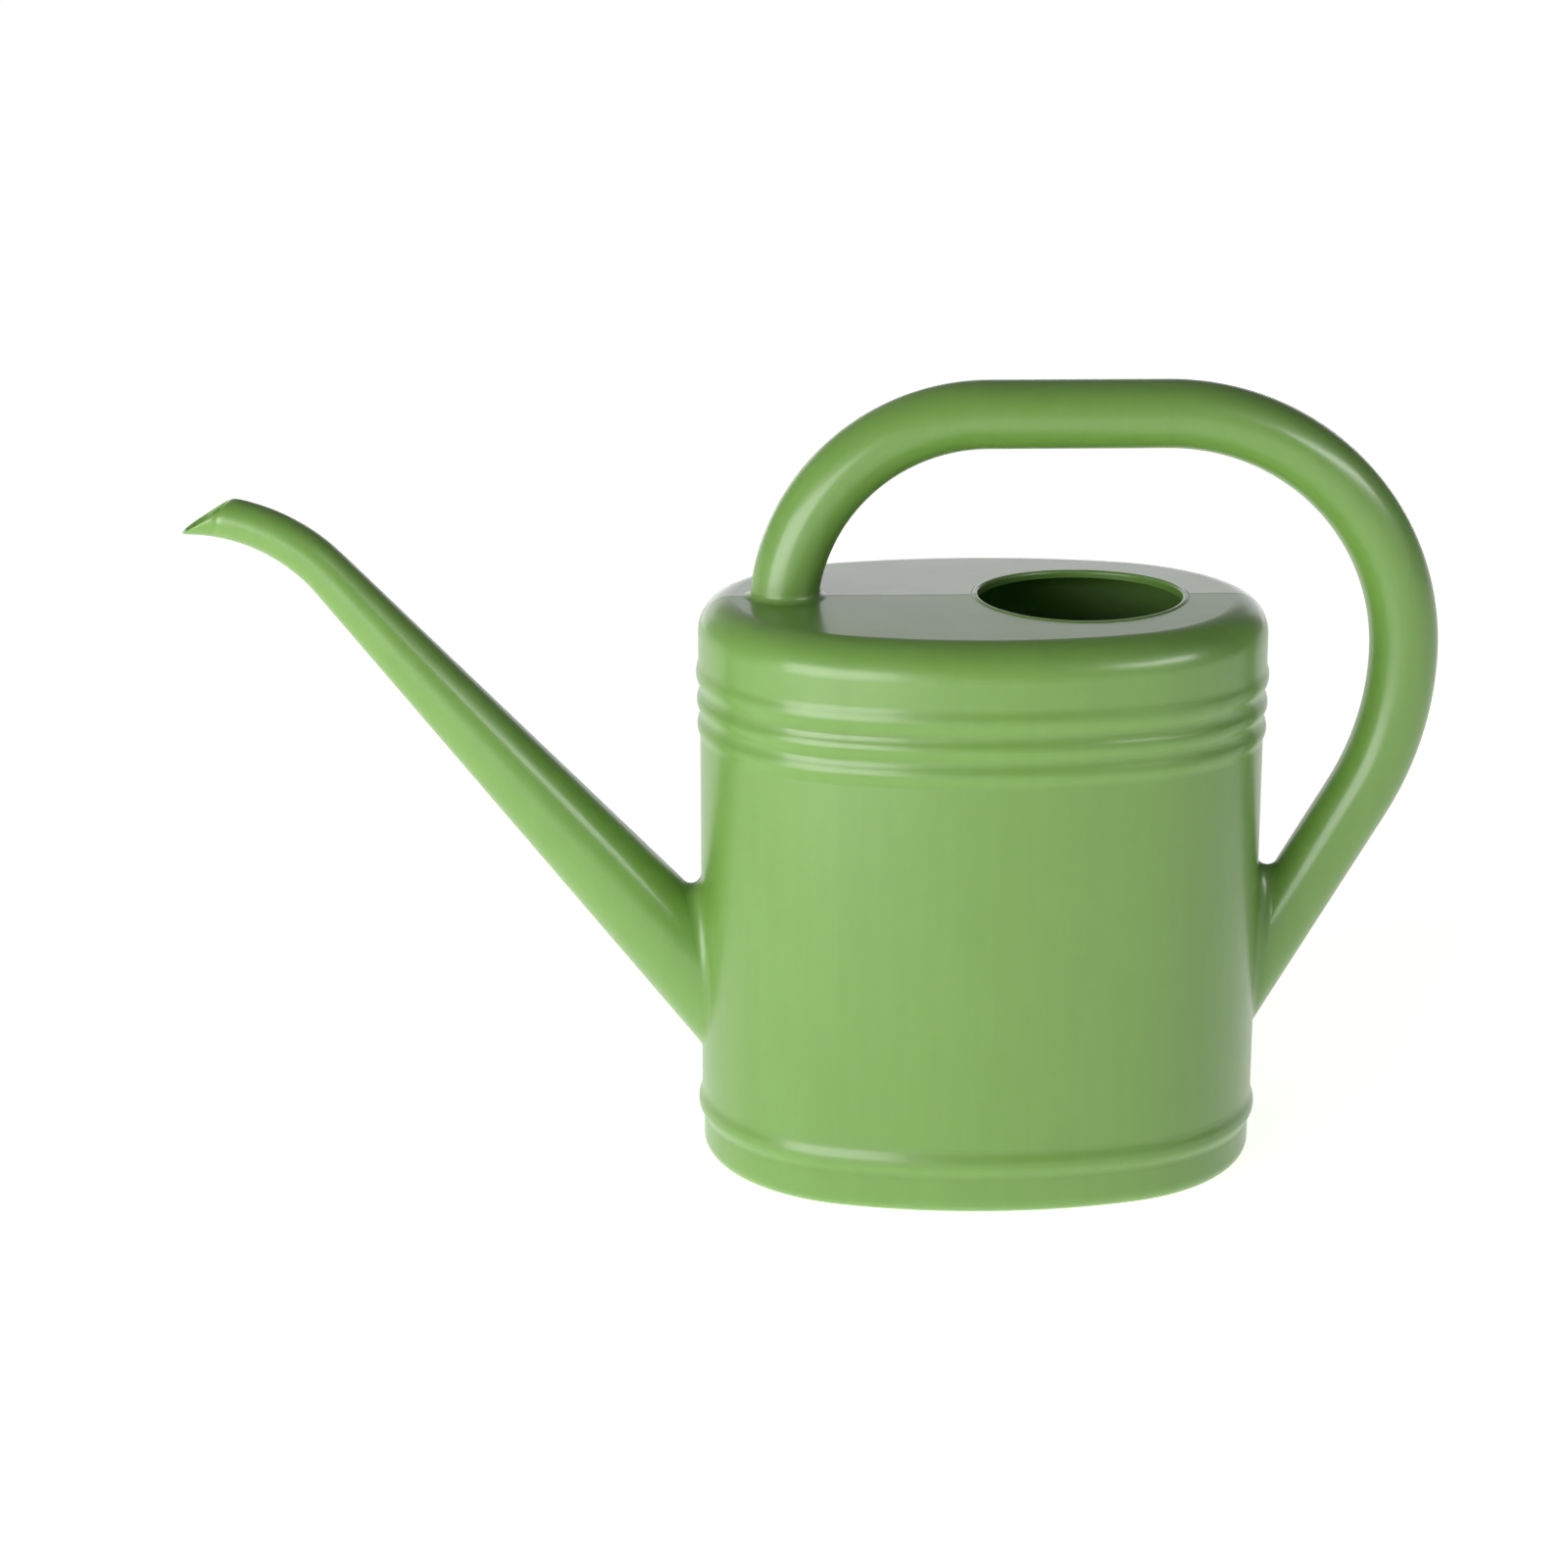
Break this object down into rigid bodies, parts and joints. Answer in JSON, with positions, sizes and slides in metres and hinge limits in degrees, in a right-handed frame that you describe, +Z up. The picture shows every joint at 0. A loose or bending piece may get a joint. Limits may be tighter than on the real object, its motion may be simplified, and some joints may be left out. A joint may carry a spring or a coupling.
{
  "type": "watering can",
  "caption": "Oval moulded plastic watering can with a long tapered swan-neck spout, round filler mouth and hollow hoop handle.",
  "frame": {"origin": "middle of the oval base, on the ground plane that the foot ring rests on", "axes": "+Z up, +X along the tank's long axis towards the back of the handle (the spout points to -X), Y across the tank; the XZ plane is the mould's parting plane"},
  "size_m": [0.5307, 0.1734, 0.34],
  "materials": {
    "green_plastic": "semi-gloss moulded polyethylene, leaf green right through"
  },
  "bodies": {
    "root": {"base_pan": "green_plastic", "tank_wall": "green_plastic", "top_shell": "green_plastic", "filler_rim": "green_plastic", "spout_tube": "green_plastic", "spout_neck": "green_plastic", "spout_tip": "green_plastic", "handle_front_bow": "green_plastic", "handle_grip": "green_plastic", "handle_rear_bow": "green_plastic", "handle_rear_leg": "green_plastic"}
  },
  "joints": []
}
